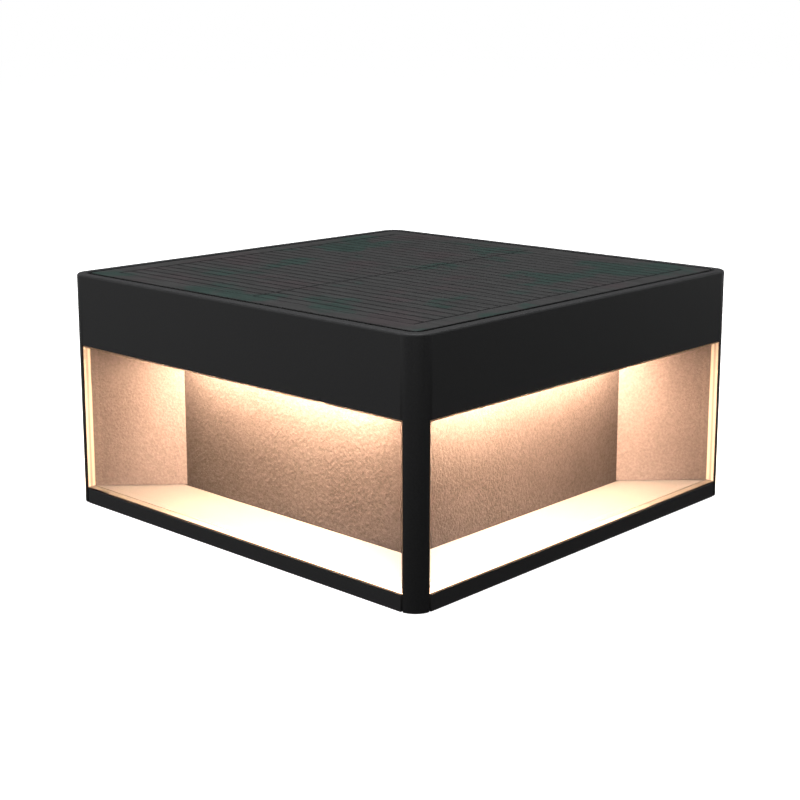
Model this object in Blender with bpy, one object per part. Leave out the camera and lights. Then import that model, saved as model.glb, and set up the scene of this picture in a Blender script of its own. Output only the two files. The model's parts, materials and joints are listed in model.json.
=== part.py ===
"""A low square solar lamp head: a cast cap on four corner legs around a lit reflector box.

Metres, +Z up. The origin is on the ground under the lamp's middle. The four sides are named
front (-Y), right (+X), back (+Y) and left (-X), and each is the front turned by a quarter turn.
"""

import math

import bmesh
import bpy
from mathutils import Vector

MM = 0.001
GAP = 0.3 * MM  # between two pieces that touch

# The cap, its skirt and its legs
SIDE = 200.0 * MM
HALF = SIDE / 2
HEIGHT = 100.0 * MM
CORNER_RADIUS = 7.8 * MM
TOP_EDGE_RADIUS = 0.9 * MM
SKIRT_BOTTOM = 69.4 * MM
WALL = 4.0 * MM
LEG_WIDTH = 6.8 * MM
WINDOW_HALF = HALF - LEG_WIDTH
CAVITY_HALF = HALF - WALL
DECK_TOP = 95.2 * MM
DECK_BOTTOM = 92.6 * MM

# The solar panel in the top
RECESS_HALF = 96.2 * MM
RECESS_RADIUS = 4.6 * MM
PANEL_HALF = 94.8 * MM
PANEL_TOP = HEIGHT - 0.05 * MM
PANEL_BOTTOM = 96.4 * MM
PANEL_RADIUS = 3.2 * MM
PANEL_SEAL_WIDTH = 6.0 * MM
JUNCTION_BOX = (42.0 * MM, 26.0 * MM, 7.0 * MM)

# The base, its rails and the white floor plate inside them
RAIL_TOP = 6.4 * MM
RAIL_HALF = 92.4 * MM
BASE_THICKNESS = 2.4 * MM
FLOOR_THICKNESS = 2.0 * MM

# The reflector: a square column with a fin along each diagonal
COLUMN_HALF = 67.6 * MM
COLUMN_WALL = 2.4 * MM
COLUMN_BOTTOM = 4.4 * MM
COLUMN_TOP = 71.0 * MM
FIN_THICKNESS = 3.6 * MM
COLUMN_SEAL_WIDTH = 1.9 * MM

# The lamp carrier and the light strips under it
CARRIER_BOTTOM = 72.3 * MM
CARRIER_TOP = 73.8 * MM
CARRIER_WINDOW_HALF = 22.0 * MM
STRIP_OFFSET = COLUMN_HALF + 11.5 * MM
STRIP_LENGTH = 114.0 * MM
STRIP_WIDTH = 8.0 * MM
STRIP_THICKNESS = 0.8 * MM
LED_COUNT = 12
LED_SIZE = (3.0 * MM, 2.8 * MM, 0.6 * MM)
COVER_WIDTH = 11.0 * MM
COVER_HEIGHT = 2.5 * MM
COVER_WALL = 0.7 * MM
LAMP_CABLE_RADIUS = 0.8 * MM
CABLE_HOLE_RADIUS = 2.0 * MM
CABLE_HOLE_PLACE = STRIP_LENGTH / 2 + 5.5 * MM

# The clear panes
PANE_THICKNESS = 3.6 * MM
PANE_RECESS = 0.35 * MM

# The long screws that clamp base, column, carrier and cap
SCREW_PLACE = 56.5 * MM
SCREW_RADIUS = 2.0 * MM
SCREW_HOLE_RADIUS = 2.35 * MM
SCREW_HEAD_RADIUS = 3.7 * MM
SCREW_HEAD_HEIGHT = 2.2 * MM
SCREW_SINK = 0.6 * MM
SCREW_TIP = 84.0 * MM
SCREW_SOCKET_RADIUS = 1.4 * MM
SCREW_SOCKET_DEPTH = 1.3 * MM
BOSS_RADIUS = 4.6 * MM
PAD_RADIUS = 6.5 * MM
PAD_TOP = 5.0 * MM
COUNTERBORE_RADIUS = 4.4 * MM
COUNTERBORE_DEPTH = 3.1 * MM

# The battery
CELL_RADIUS = 9.2 * MM
CELL_LENGTH = 65.0 * MM
CELL_COUNT = 4
CELL_PITCH = 19.4 * MM
TRAY_WALL = 1.6 * MM
TRAY_FLOOR = 1.4 * MM
TRAY_DEPTH = 11.0 * MM
TRAY_Y = -10.0 * MM
CELL_CONTACT_RADIUS = 3.0 * MM
CELL_CONTACT_HEIGHT = 1.0 * MM

# The controller board on its four posts
BOARD_SIZE = (92.0 * MM, 52.0 * MM, 1.6 * MM)
BOARD_BOTTOM = 27.0 * MM
BOARD_POST_RADIUS = 3.2 * MM
BOARD_POST_X = 42.0 * MM
BOARD_POST_Y = 21.0 * MM
BOARD_SCREW_RADIUS = 1.5 * MM
BOARD_SCREW_LENGTH = 8.0 * MM
BOARD_SCREW_HEAD_RADIUS = 2.8 * MM
BOARD_SCREW_HEAD_HEIGHT = 1.8 * MM

# The push switch in the underside
SWITCH_PLACE = (0.0, 47.0 * MM)
WELL_RADIUS = 9.4 * MM
WELL_ROOF = 7.0 * MM
TURRET_RADIUS = 12.0 * MM
TURRET_TOP = 9.4 * MM
BARREL_RADIUS = 6.0 * MM
BARREL_HOLE_RADIUS = 6.3 * MM
FLANGE_RADIUS = 8.0 * MM
FLANGE_BOTTOM = 4.0 * MM
FLANGE_TOP = 5.7 * MM
SWITCH_TOP = 22.0 * MM
SWITCH_BORE_RADIUS = 4.5 * MM
SWITCH_BORE_TOP = 15.6 * MM
SWITCH_SEAL_THICKNESS = 0.7 * MM
SWITCH_NUT_WIDTH = 16.0 * MM
SWITCH_NUT_HEIGHT = 2.6 * MM
BUTTON_RADIUS = 4.1 * MM
BUTTON_BOTTOM = 1.6 * MM
BUTTON_SHOULDER = 6.6 * MM
BUTTON_STEM_RADIUS = 1.6 * MM
BUTTON_STEM_TOP = 13.4 * MM
SPRING_RADIUS = 2.7 * MM
SPRING_WIRE_RADIUS = 0.3 * MM
SPRING_TURNS = 5
SPRING_POINTS_PER_TURN = 12

CABLE_RADIUS = 1.1 * MM
CABLE_POINT_SPACING = 5.0 * MM

ROUND_SIDES = 24
SMALL_SIDES = 16
SIDES = ("front", "right", "back", "left")
CORNERS = (("front_right", 1, -1), ("back_right", 1, 1), ("back_left", -1, 1), ("front_left", -1, -1))


def clear_scene():
    for item in list(bpy.data.objects):
        bpy.data.objects.remove(item, do_unlink=True)


def material(name, colour, roughness, metallic=0.0):
    made = bpy.data.materials.get(name) or bpy.data.materials.new(name)
    made.use_nodes = True
    shader = made.node_tree.nodes["Principled BSDF"]
    shader.inputs["Base Color"].default_value = (*colour, 1.0)
    shader.inputs["Roughness"].default_value = roughness
    shader.inputs["Metallic"].default_value = metallic
    return made


def powder_coat():
    return material("charcoal_powder_coat", (0.025, 0.026, 0.028), 0.55)


def reflector_paint():
    return material("sand_reflector_paint", (0.48, 0.44, 0.40), 0.7)


def floor_paint():
    return material("white_reflector_paint", (0.82, 0.81, 0.78), 0.45)


def zinc_steel():
    return material("zinc_plated_steel", (0.60, 0.60, 0.58), 0.3, 1.0)


def clear_plastic():
    return material("clear_acrylic", (0.92, 0.94, 0.94), 0.05)


def opal_plastic():
    return material("opal_acrylic", (0.93, 0.90, 0.82), 0.4)


def rubber():
    return material("black_rubber", (0.02, 0.02, 0.02), 0.8)


def panel_face():
    return material("solar_laminate", (0.03, 0.032, 0.036), 0.35)


def board_green():
    return material("circuit_board", (0.03, 0.14, 0.07), 0.4)


def white_board():
    return material("white_light_board", (0.88, 0.88, 0.86), 0.4)


def cell_wrap():
    return material("battery_wrap", (0.05, 0.16, 0.42), 0.4)


def moulded_black():
    return material("black_plastic", (0.03, 0.03, 0.03), 0.5)


def grey_sleeve():
    return material("cable_sleeve", (0.12, 0.12, 0.12), 0.5)


def object_from(mesh, name, finish=None):
    made = bpy.data.objects.new(name, mesh)
    bpy.context.collection.objects.link(made)
    if finish and not mesh.materials:
        mesh.materials.append(finish)
    return made


def smooth_round_faces(mesh, degrees=40):
    mesh.shade_smooth()
    mesh.set_sharp_from_angle(angle=math.radians(degrees))


def prism(name, outline, bottom, top, finish=None):
    """A closed solid: the outline, given anticlockwise in plan, raised from bottom to top."""
    shape = bmesh.new()
    low = [shape.verts.new((x, y, bottom)) for x, y in outline]
    high = [shape.verts.new((x, y, top)) for x, y in outline]
    shape.faces.new(reversed(low))
    shape.faces.new(high)
    for i in range(len(outline)):
        j = (i + 1) % len(outline)
        shape.faces.new((low[i], low[j], high[j], high[i]))
    mesh = bpy.data.meshes.new(name)
    shape.to_mesh(mesh)
    shape.free()
    return object_from(mesh, name, finish)


def box(name, low, high, finish=None):
    outline = ((low[0], low[1]), (high[0], low[1]), (high[0], high[1]), (low[0], high[1]))
    return prism(name, outline, low[2], high[2], finish)


def square(half):
    return [(-half, -half), (half, -half), (half, half), (-half, half)]


def rounded_square(half, radius, steps=6):
    points = []
    for quarter, (sx, sy) in enumerate(((1, -1), (1, 1), (-1, 1), (-1, -1))):
        centre = (sx * (half - radius), sy * (half - radius))
        for step in range(steps + 1):
            angle = math.radians(90) * (quarter - 1 + step / steps)
            points.append((centre[0] + radius * math.cos(angle), centre[1] + radius * math.sin(angle)))
    return points


def circle(radius, sides, centre=(0.0, 0.0)):
    turn = 2 * math.pi / sides
    return [
        (centre[0] + radius * math.cos(turn * i), centre[1] + radius * math.sin(turn * i))
        for i in range(sides)
    ]


def cylinder(name, radius, bottom, top, centre=(0.0, 0.0), sides=ROUND_SIDES, finish=None):
    made = prism(name, circle(radius, sides, centre), bottom, top, finish)
    smooth_round_faces(made.data)
    return made


def turned(name, profile, centre, sides=ROUND_SIDES, finish=None):
    """A closed turned solid: profile is (radius, height) from its lower pole to its upper pole."""
    shape = bmesh.new()
    rings = []
    for radius, height in profile:
        if radius == 0.0:
            rings.append([shape.verts.new((centre[0], centre[1], height))])
            continue
        rings.append([shape.verts.new((x, y, height)) for x, y in circle(radius, sides, centre)])
    for low, high in zip(rings, rings[1:]):
        for i in range(sides):
            j = (i + 1) % sides
            if len(low) == 1:
                shape.faces.new((low[0], high[j], high[i]))
            elif len(high) == 1:
                shape.faces.new((low[i], low[j], high[0]))
            else:
                shape.faces.new((low[i], low[j], high[j], high[i]))
    mesh = bpy.data.meshes.new(name)
    shape.to_mesh(mesh)
    shape.free()
    smooth_round_faces(mesh)
    return object_from(mesh, name, finish)


def combine(target, other, operation):
    """Cuts the other solid out of the target, or joins it on. The other one becomes a helper."""
    modifier = target.modifiers.new(other.name, "BOOLEAN")
    modifier.operation = operation
    modifier.solver = "EXACT"
    modifier.object = other
    other.hide_render = True
    other.display_type = "WIRE"
    return target


def cut(target, *cutters):
    for cutter in cutters:
        combine(target, cutter, "DIFFERENCE")
    return target


def join(target, *others):
    for other in others:
        combine(target, other, "UNION")
    return target


def soften(target, width, segments=2, degrees=50):
    """Rounds the sharp edges of a solid."""
    modifier = target.modifiers.new("soft_edges", "BEVEL")
    modifier.width = width
    modifier.segments = segments
    modifier.limit_method = "ANGLE"
    modifier.angle_limit = math.radians(degrees)
    return target


def settle(target):
    """Makes the object's evaluated shape its own mesh, with no modifiers left."""
    bpy.context.view_layer.update()
    graph = bpy.context.evaluated_depsgraph_get()
    mesh = bpy.data.meshes.new_from_object(target.evaluated_get(graph))
    target.modifiers.clear()
    target.data = mesh


def quarter_turns(first, name_stem):
    """Adds the front's piece three more times, turned to the other sides."""
    settle(first)
    for turn, side in enumerate(SIDES[1:], start=1):
        piece = first.copy()
        piece.name = f"{name_stem}_{side}"
        bpy.context.collection.objects.link(piece)
        piece.rotation_euler.z = math.radians(90) * turn


def corner_points(distance):
    return [(name, (sx * distance, sy * distance)) for name, sx, sy in CORNERS]


def rim_block():
    """The cap's outer block, with its upper edge rounded over in three steps."""
    shape = bmesh.new()
    levels = [(0.0, 0.0), (HEIGHT - TOP_EDGE_RADIUS, 0.0)]
    for step in range(1, 4):
        angle = math.radians(90) * step / 3
        height = HEIGHT - TOP_EDGE_RADIUS * (1 - math.sin(angle))
        levels.append((height, TOP_EDGE_RADIUS * (1 - math.cos(angle))))
    rings = []
    for height, inset in levels:
        outline = rounded_square(HALF - inset, CORNER_RADIUS - inset)
        rings.append([shape.verts.new((x, y, height)) for x, y in outline])
    shape.faces.new(reversed(rings[0]))
    shape.faces.new(rings[-1])
    for low, high in zip(rings, rings[1:]):
        for i in range(len(low)):
            j = (i + 1) % len(low)
            shape.faces.new((low[i], low[j], high[j], high[i]))
    mesh = bpy.data.meshes.new("top_housing")
    shape.to_mesh(mesh)
    shape.free()
    smooth_round_faces(mesh)
    return object_from(mesh, "top_housing", powder_coat())


def top_housing():
    """The casting: deck, skirt, four legs of L section, and four screw bosses under the deck."""
    housing = rim_block()
    beyond = 5 * MM
    reach = HALF + beyond
    cut(
        housing,
        prism("cavity_cutter", square(CAVITY_HALF), -beyond, DECK_BOTTOM),
        box("window_cutter_y", (-WINDOW_HALF, -reach, -beyond), (WINDOW_HALF, reach, SKIRT_BOTTOM)),
        box("window_cutter_x", (-reach, -WINDOW_HALF, -beyond), (reach, WINDOW_HALF, SKIRT_BOTTOM)),
        prism("recess_cutter", rounded_square(RECESS_HALF, RECESS_RADIUS, 4), DECK_TOP, HEIGHT + beyond),
    )
    half_x = JUNCTION_BOX[0] / 2 + 1.5 * MM
    half_y = JUNCTION_BOX[1] / 2 + 1.5 * MM
    deck_hole = ((-half_x, -half_y, DECK_BOTTOM - beyond), (half_x, half_y, HEIGHT + beyond))
    cut(housing, box("deck_hole_cutter", *deck_hole))
    for name, place in corner_points(SCREW_PLACE):
        boss_bottom = CARRIER_TOP + GAP
        boss = cylinder(f"cap_boss_{name}", BOSS_RADIUS, boss_bottom, DECK_BOTTOM + MM, place, SMALL_SIDES)
        hole_top = SCREW_TIP + 1.5 * MM
        hole = cylinder(f"cap_hole_{name}", SCREW_HOLE_RADIUS, boss_bottom - MM, hole_top, place, SMALL_SIDES)
        join(housing, boss)
        cut(housing, hole)


def solar_panel():
    prism("solar_panel", rounded_square(PANEL_HALF, PANEL_RADIUS, 4), PANEL_BOTTOM, PANEL_TOP, panel_face())
    seal_half = PANEL_HALF - 1.0 * MM
    seal_bottom = DECK_TOP + GAP
    seal_top = PANEL_BOTTOM - GAP
    seal = prism("panel_seal", square(seal_half), seal_bottom, seal_top, rubber())
    inner = square(seal_half - PANEL_SEAL_WIDTH)
    cut(seal, prism("panel_seal_cutter", inner, seal_bottom - MM, seal_top + MM))
    half_x, half_y = JUNCTION_BOX[0] / 2, JUNCTION_BOX[1] / 2
    top = PANEL_BOTTOM - GAP
    low = (-half_x, -half_y, top - JUNCTION_BOX[2])
    soften(box("panel_junction_box", low, (half_x, half_y, top), moulded_black()), 0.8 * MM)


def lamp_carrier():
    """The plate over the four light strips, with holes for the screws and the cables."""
    half = CAVITY_HALF - GAP
    carrier = prism("lamp_carrier", square(half), CARRIER_BOTTOM, CARRIER_TOP, powder_coat())
    low, high = CARRIER_BOTTOM - MM, CARRIER_TOP + MM
    cut(carrier, prism("carrier_window_cutter", square(CARRIER_WINDOW_HALF), low, high))
    for name, place in corner_points(SCREW_PLACE):
        cut(carrier, cylinder(f"carrier_hole_{name}", SCREW_HOLE_RADIUS, low, high, place, SMALL_SIDES))
    for turn, side in enumerate(SIDES):
        for end, x in (("start", -CABLE_HOLE_PLACE), ("end", CABLE_HOLE_PLACE)):
            place = turned_point((x, -STRIP_OFFSET), turn)
            cut(carrier, cylinder(f"cable_hole_{side}_{end}", CABLE_HOLE_RADIUS, low, high, place, 12))


def turned_point(point, turn):
    """A point of the front side, moved to the side that lies the given number of quarter turns on."""
    x, y = point[0], point[1]
    for _ in range(turn):
        x, y = -y, x
    return (x, y, *point[2:])


def light_strips():
    """Each strip is a board with its lamps soldered on, under an opal cover of C section."""
    board_top = CARRIER_BOTTOM - GAP
    board_bottom = board_top - STRIP_THICKNESS
    half = STRIP_LENGTH / 2
    low = (-half, -STRIP_OFFSET - STRIP_WIDTH / 2, board_bottom)
    high = (half, -STRIP_OFFSET + STRIP_WIDTH / 2, board_top)
    board = box("light_board_front", low, high, white_board())
    pitch = STRIP_LENGTH / LED_COUNT
    for i in range(LED_COUNT):
        x = (i + 0.5) * pitch - half
        lamp_low = (x - LED_SIZE[0] / 2, -STRIP_OFFSET - LED_SIZE[1] / 2, board_bottom - LED_SIZE[2])
        lamp_high = (x + LED_SIZE[0] / 2, -STRIP_OFFSET + LED_SIZE[1] / 2, board_bottom + 0.2 * MM)
        join(board, box(f"lamp_chip_{i + 1}", lamp_low, lamp_high))
    quarter_turns(board, "light_board")

    half += 1.5 * MM
    y0, y1 = -STRIP_OFFSET - COVER_WIDTH / 2, -STRIP_OFFSET + COVER_WIDTH / 2
    bottom = board_top - COVER_HEIGHT
    cover = box("light_cover_front", (-half, y0, bottom), (half, y1, board_top), opal_plastic())
    inner_low = (-half - MM, y0 + COVER_WALL, bottom + COVER_WALL)
    inner_high = (half + MM, y1 - COVER_WALL, board_top + MM)
    cut(cover, box("cover_cutter", inner_low, inner_high))
    quarter_turns(cover, "light_cover")


def reflector():
    """The square column that holds the battery and board, with a fin from each corner to a leg."""
    column = prism("reflector_column", square(COLUMN_HALF), COLUMN_BOTTOM, COLUMN_TOP, reflector_paint())
    inner = square(COLUMN_HALF - COLUMN_WALL)
    cut(column, prism("column_cutter", inner, COLUMN_BOTTOM - MM, COLUMN_TOP + MM))
    fin_bottom = RAIL_TOP + GAP
    tip = (CAVITY_HALF - GAP) * math.sqrt(2) - FIN_THICKNESS / 2
    for turn, (name, place) in enumerate(corner_points(SCREW_PLACE)):
        start = SCREW_PLACE * math.sqrt(2)
        fin_low = (start, -FIN_THICKNESS / 2, fin_bottom)
        fin = box(f"fin_{name}", fin_low, (tip, FIN_THICKNESS / 2, COLUMN_TOP))
        fin.rotation_euler.z = math.radians(90) * turn - math.radians(45)
        boss_bottom = PAD_TOP + GAP
        boss = cylinder(f"column_boss_{name}", BOSS_RADIUS, boss_bottom, COLUMN_TOP, place, SMALL_SIDES)
        low, high = boss_bottom - MM, COLUMN_TOP + MM
        hole = cylinder(f"column_hole_{name}", SCREW_HOLE_RADIUS, low, high, place, SMALL_SIDES)
        join(column, fin, boss)
        cut(column, hole)


def square_ring(name, outer, inner, bottom, top, finish):
    ring = prism(name, square(outer), bottom, top, finish)
    return cut(ring, prism(f"{name}_cutter", square(inner), bottom - MM, top + MM))


def reflector_floor_and_seals():
    floor_half = CAVITY_HALF - GAP
    square_ring("floor_plate", floor_half, COLUMN_HALF + GAP, RAIL_TOP - FLOOR_THICKNESS, RAIL_TOP, floor_paint())
    outer = COLUMN_HALF - 0.2 * MM
    inner = outer - COLUMN_SEAL_WIDTH
    square_ring("base_seal", outer, inner, BASE_THICKNESS + GAP, COLUMN_BOTTOM - GAP, rubber())
    square_ring("column_seal", outer, inner, COLUMN_TOP + GAP, CARRIER_BOTTOM - GAP, rubber())


def windows():
    half = WINDOW_HALF - GAP
    outer = -HALF + PANE_RECESS
    low = (-half, outer, RAIL_TOP + GAP)
    high = (half, outer + PANE_THICKNESS, SKIRT_BOTTOM - GAP)
    pane = box("window_pane_front", low, high, clear_plastic())
    quarter_turns(soften(pane, 0.2 * MM, 1), "window_pane")


def base_plate():
    """The underside, with a rail along each side, pads for the screws, posts for the board and
    a turret whose well holds the push switch."""
    half = CAVITY_HALF - GAP
    base = prism("base_plate", square(half), 0.0, BASE_THICKNESS, powder_coat())
    for turn, side in enumerate(SIDES):
        rail = box(f"rail_{side}", (-RAIL_HALF, -HALF, 0.0), (RAIL_HALF, -CAVITY_HALF, RAIL_TOP))
        web_high = (RAIL_HALF, -CAVITY_HALF + MM, BASE_THICKNESS)
        web = box(f"rail_web_{side}", (-RAIL_HALF, -HALF + MM, 0.0), web_high)
        for piece in (rail, web):
            piece.rotation_euler.z = math.radians(90) * turn
            join(base, piece)
    for name, place in corner_points(SCREW_PLACE):
        join(base, cylinder(f"pad_{name}", PAD_RADIUS, 0.0, PAD_TOP, place, SMALL_SIDES))
        cut(
            base,
            cylinder(f"base_hole_{name}", SCREW_HOLE_RADIUS, -MM, PAD_TOP + MM, place, SMALL_SIDES),
            cylinder(f"counterbore_{name}", COUNTERBORE_RADIUS, -MM, COUNTERBORE_DEPTH, place, SMALL_SIDES),
        )
    for name, sx, sy in CORNERS:
        place = (sx * BOARD_POST_X, sy * BOARD_POST_Y + TRAY_Y)
        post_top = BOARD_BOTTOM - GAP
        join(base, cylinder(f"board_post_{name}", BOARD_POST_RADIUS, MM, post_top, place, SMALL_SIDES))
        bore_bottom = post_top - BOARD_SCREW_LENGTH
        bore = cylinder(f"post_bore_{name}", BOARD_SCREW_RADIUS + GAP, bore_bottom, post_top + MM, place, 12)
        cut(base, bore)
    join(base, cylinder("turret", TURRET_RADIUS, 0.0, TURRET_TOP, SWITCH_PLACE))
    cut(
        base,
        cylinder("well_cutter", WELL_RADIUS, -MM, WELL_ROOF, SWITCH_PLACE),
        cylinder("barrel_cutter", BARREL_HOLE_RADIUS, WELL_ROOF - MM, TURRET_TOP + MM, SWITCH_PLACE),
    )


def clamp_screws():
    """Pan-head screws with a hexagon socket, sunk in the base and reaching up into the cap."""
    for name, place in corner_points(SCREW_PLACE):
        head_top = SCREW_SINK + SCREW_HEAD_HEIGHT
        edge = 0.4 * MM
        profile = (
            (0.0, SCREW_SINK),
            (SCREW_HEAD_RADIUS - edge, SCREW_SINK),
            (SCREW_HEAD_RADIUS, SCREW_SINK + edge),
            (SCREW_HEAD_RADIUS, head_top),
            (SCREW_RADIUS, head_top),
            (SCREW_RADIUS, SCREW_TIP - SCREW_RADIUS / 2),
            (SCREW_RADIUS / 2, SCREW_TIP),
            (0.0, SCREW_TIP),
        )
        screw = turned(f"clamp_screw_{name}", profile, place, SMALL_SIDES, zinc_steel())
        socket_top = SCREW_SINK + SCREW_SOCKET_DEPTH
        cut(screw, cylinder(f"socket_{name}", SCREW_SOCKET_RADIUS, 0.0, socket_top, place, 6))


def battery():
    """Cells side by side in an open tray on the base."""
    width = CELL_PITCH * CELL_COUNT
    half_x = CELL_LENGTH / 2 + CELL_CONTACT_HEIGHT + TRAY_WALL + 2 * GAP
    half_y = width / 2 + TRAY_WALL
    bottom = BASE_THICKNESS + GAP
    low = (-half_x, TRAY_Y - half_y, bottom)
    tray = box("battery_tray", low, (half_x, TRAY_Y + half_y, bottom + TRAY_DEPTH), moulded_black())
    inner_low = (-half_x + TRAY_WALL, TRAY_Y - width / 2, bottom + TRAY_FLOOR)
    inner_high = (half_x - TRAY_WALL, TRAY_Y + width / 2, bottom + TRAY_DEPTH + MM)
    cut(tray, box("tray_cutter", inner_low, inner_high))
    axis_height = bottom + TRAY_FLOOR + GAP + CELL_RADIUS
    for i in range(CELL_COUNT):
        edge = 0.8 * MM
        end = CELL_LENGTH / 2
        profile = (
            (0.0, -end),
            (CELL_RADIUS - edge, -end),
            (CELL_RADIUS, -end + edge),
            (CELL_RADIUS, end - edge),
            (CELL_RADIUS - edge, end),
            (CELL_CONTACT_RADIUS, end),
            (CELL_CONTACT_RADIUS, end + CELL_CONTACT_HEIGHT),
            (0.0, end + CELL_CONTACT_HEIGHT),
        )
        cell = turned(f"battery_cell_{i + 1}", profile, (0.0, 0.0), SMALL_SIDES, cell_wrap())
        cell.location = (0.0, TRAY_Y + (i - (CELL_COUNT - 1) / 2) * CELL_PITCH, axis_height)
        cell.rotation_euler.y = math.radians(90)


def controller_board():
    """The charge and lamp controller, with its largest components soldered on."""
    half_x, half_y = BOARD_SIZE[0] / 2, BOARD_SIZE[1] / 2
    top = BOARD_BOTTOM + BOARD_SIZE[2]
    low = (-half_x, TRAY_Y - half_y, BOARD_BOTTOM)
    board = box("controller_board", low, (half_x, TRAY_Y + half_y, top), board_green())
    for name, sx, sy in CORNERS:
        place = (sx * BOARD_POST_X, sy * BOARD_POST_Y + TRAY_Y)
        low, high = BOARD_BOTTOM - MM, top + MM
        cut(board, cylinder(f"board_hole_{name}", BOARD_SCREW_RADIUS + GAP, low, high, place, 12))
    blocks = {
        "charge_chip": ((-20, 2), (8, 8, 2)),
        "lamp_driver": ((6, 8), (6, 5, 2)),
        "choke": ((-2, -8), (10, 10, 6)),
        "panel_socket": ((-33, 14), (8, 6, 6)),
        "battery_socket": ((-33, -14), (8, 6, 6)),
        "switch_socket": ((0, 20), (8, 6, 6)),
        "lamp_socket": ((32, 0), (8, 22, 6)),
    }
    for name, ((x, y), size) in blocks.items():
        x, y = x * MM, y * MM + TRAY_Y
        half = [side * MM / 2 for side in size[:2]]
        block_low = (x - half[0], y - half[1], top - 0.4 * MM)
        join(board, box(name, block_low, (x + half[0], y + half[1], top + size[2] * MM)))
    for i, x in enumerate((16 * MM, 21 * MM)):
        place = (x, -12 * MM + TRAY_Y)
        join(board, cylinder(f"capacitor_{i + 1}", 2.2 * MM, top - 0.4 * MM, top + 8 * MM, place, 12))
    for name, sx, sy in CORNERS:
        place = (sx * BOARD_POST_X, sy * BOARD_POST_Y + TRAY_Y)
        head_bottom = top + GAP
        profile = (
            (0.0, head_bottom - BOARD_SCREW_LENGTH),
            (BOARD_SCREW_RADIUS, head_bottom - BOARD_SCREW_LENGTH),
            (BOARD_SCREW_RADIUS, head_bottom),
            (BOARD_SCREW_HEAD_RADIUS, head_bottom),
            (BOARD_SCREW_HEAD_RADIUS, head_bottom + BOARD_SCREW_HEAD_HEIGHT),
            (0.0, head_bottom + BOARD_SCREW_HEAD_HEIGHT),
        )
        turned(f"board_screw_{name}", profile, place, 12, zinc_steel())


def push_switch():
    """A sealed push switch clamped in the turret's roof. Its button slides up, into the lamp."""
    body_profile = (
        (0.0, FLANGE_BOTTOM),
        (FLANGE_RADIUS, FLANGE_BOTTOM),
        (FLANGE_RADIUS, FLANGE_TOP),
        (BARREL_RADIUS, FLANGE_TOP),
        (BARREL_RADIUS, SWITCH_TOP),
        (0.0, SWITCH_TOP),
    )
    body = turned("switch_body", body_profile, SWITCH_PLACE, ROUND_SIDES, moulded_black())
    bore_bottom = FLANGE_BOTTOM - MM
    cut(body, cylinder("switch_bore", SWITCH_BORE_RADIUS, bore_bottom, SWITCH_BORE_TOP, SWITCH_PLACE))

    seal_bottom = FLANGE_TOP + GAP
    seal_top = seal_bottom + SWITCH_SEAL_THICKNESS
    seal = cylinder("switch_seal", FLANGE_RADIUS, seal_bottom, seal_top, SWITCH_PLACE, finish=rubber())
    low, high = seal_bottom - MM, seal_top + MM
    cut(seal, cylinder("seal_hole", BARREL_HOLE_RADIUS, low, high, SWITCH_PLACE))

    nut_bottom = TURRET_TOP + GAP
    nut_top = nut_bottom + SWITCH_NUT_HEIGHT
    across_corners = SWITCH_NUT_WIDTH / math.sqrt(3)
    nut = prism("switch_nut", circle(across_corners, 6, SWITCH_PLACE), nut_bottom, nut_top, zinc_steel())
    low, high = nut_bottom - MM, nut_top + MM
    cut(nut, cylinder("nut_hole", BARREL_HOLE_RADIUS, low, high, SWITCH_PLACE))

    edge = 0.6 * MM
    button_profile = (
        (0.0, BUTTON_BOTTOM),
        (BUTTON_RADIUS - edge, BUTTON_BOTTOM),
        (BUTTON_RADIUS, BUTTON_BOTTOM + edge),
        (BUTTON_RADIUS, BUTTON_SHOULDER),
        (BUTTON_STEM_RADIUS, BUTTON_SHOULDER),
        (BUTTON_STEM_RADIUS, BUTTON_STEM_TOP),
        (0.0, BUTTON_STEM_TOP),
    )
    button = turned("switch_button", button_profile, (0.0, 0.0), ROUND_SIDES, rubber())
    button.location = (*SWITCH_PLACE, 0.0)

    start = BUTTON_SHOULDER + GAP + SPRING_WIRE_RADIUS
    end = SWITCH_BORE_TOP - GAP - SPRING_WIRE_RADIUS
    count = SPRING_TURNS * SPRING_POINTS_PER_TURN
    coil = []
    for i in range(count + 1):
        angle = 2 * math.pi * i / SPRING_POINTS_PER_TURN
        height = start + (end - start) * i / count
        x, y = SPRING_RADIUS * math.cos(angle), SPRING_RADIUS * math.sin(angle)
        coil.append((SWITCH_PLACE[0] + x, SWITCH_PLACE[1] + y, height))
    tube("switch_spring", coil, SPRING_WIRE_RADIUS, 1, zinc_steel())


def tube(name, points, radius, bevel_resolution, finish):
    data = bpy.data.curves.new(name, "CURVE")
    data.dimensions = "3D"
    data.bevel_depth = radius
    data.bevel_resolution = bevel_resolution
    data.use_fill_caps = True
    spline = data.splines.new("POLY")
    spline.points.add(len(points) - 1)
    for point, place in zip(spline.points, points):
        point.co = (*place, 1.0)
    data.materials.append(finish)
    made = bpy.data.objects.new(name, data)
    bpy.context.collection.objects.link(made)
    return made


def smooth_route(route):
    """Points along a Catmull-Rom curve through the route, CABLE_POINT_SPACING apart or closer."""
    knots = [Vector(place) for place in route]
    knots = [2 * knots[0] - knots[1]] + knots + [2 * knots[-1] - knots[-2]]
    points = []
    for before, here, there, after in zip(knots, knots[1:], knots[2:], knots[3:]):
        steps = max(1, math.ceil((there - here).length / CABLE_POINT_SPACING))
        for step in range(steps):
            t = step / steps
            bend = 2 * before - 5 * here + 4 * there - after
            twist = 3 * here - before - 3 * there + after
            points.append((2 * here + (there - before) * t + bend * t * t + twist * t ** 3) / 2)
    points.append(knots[-2])
    return points


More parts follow.
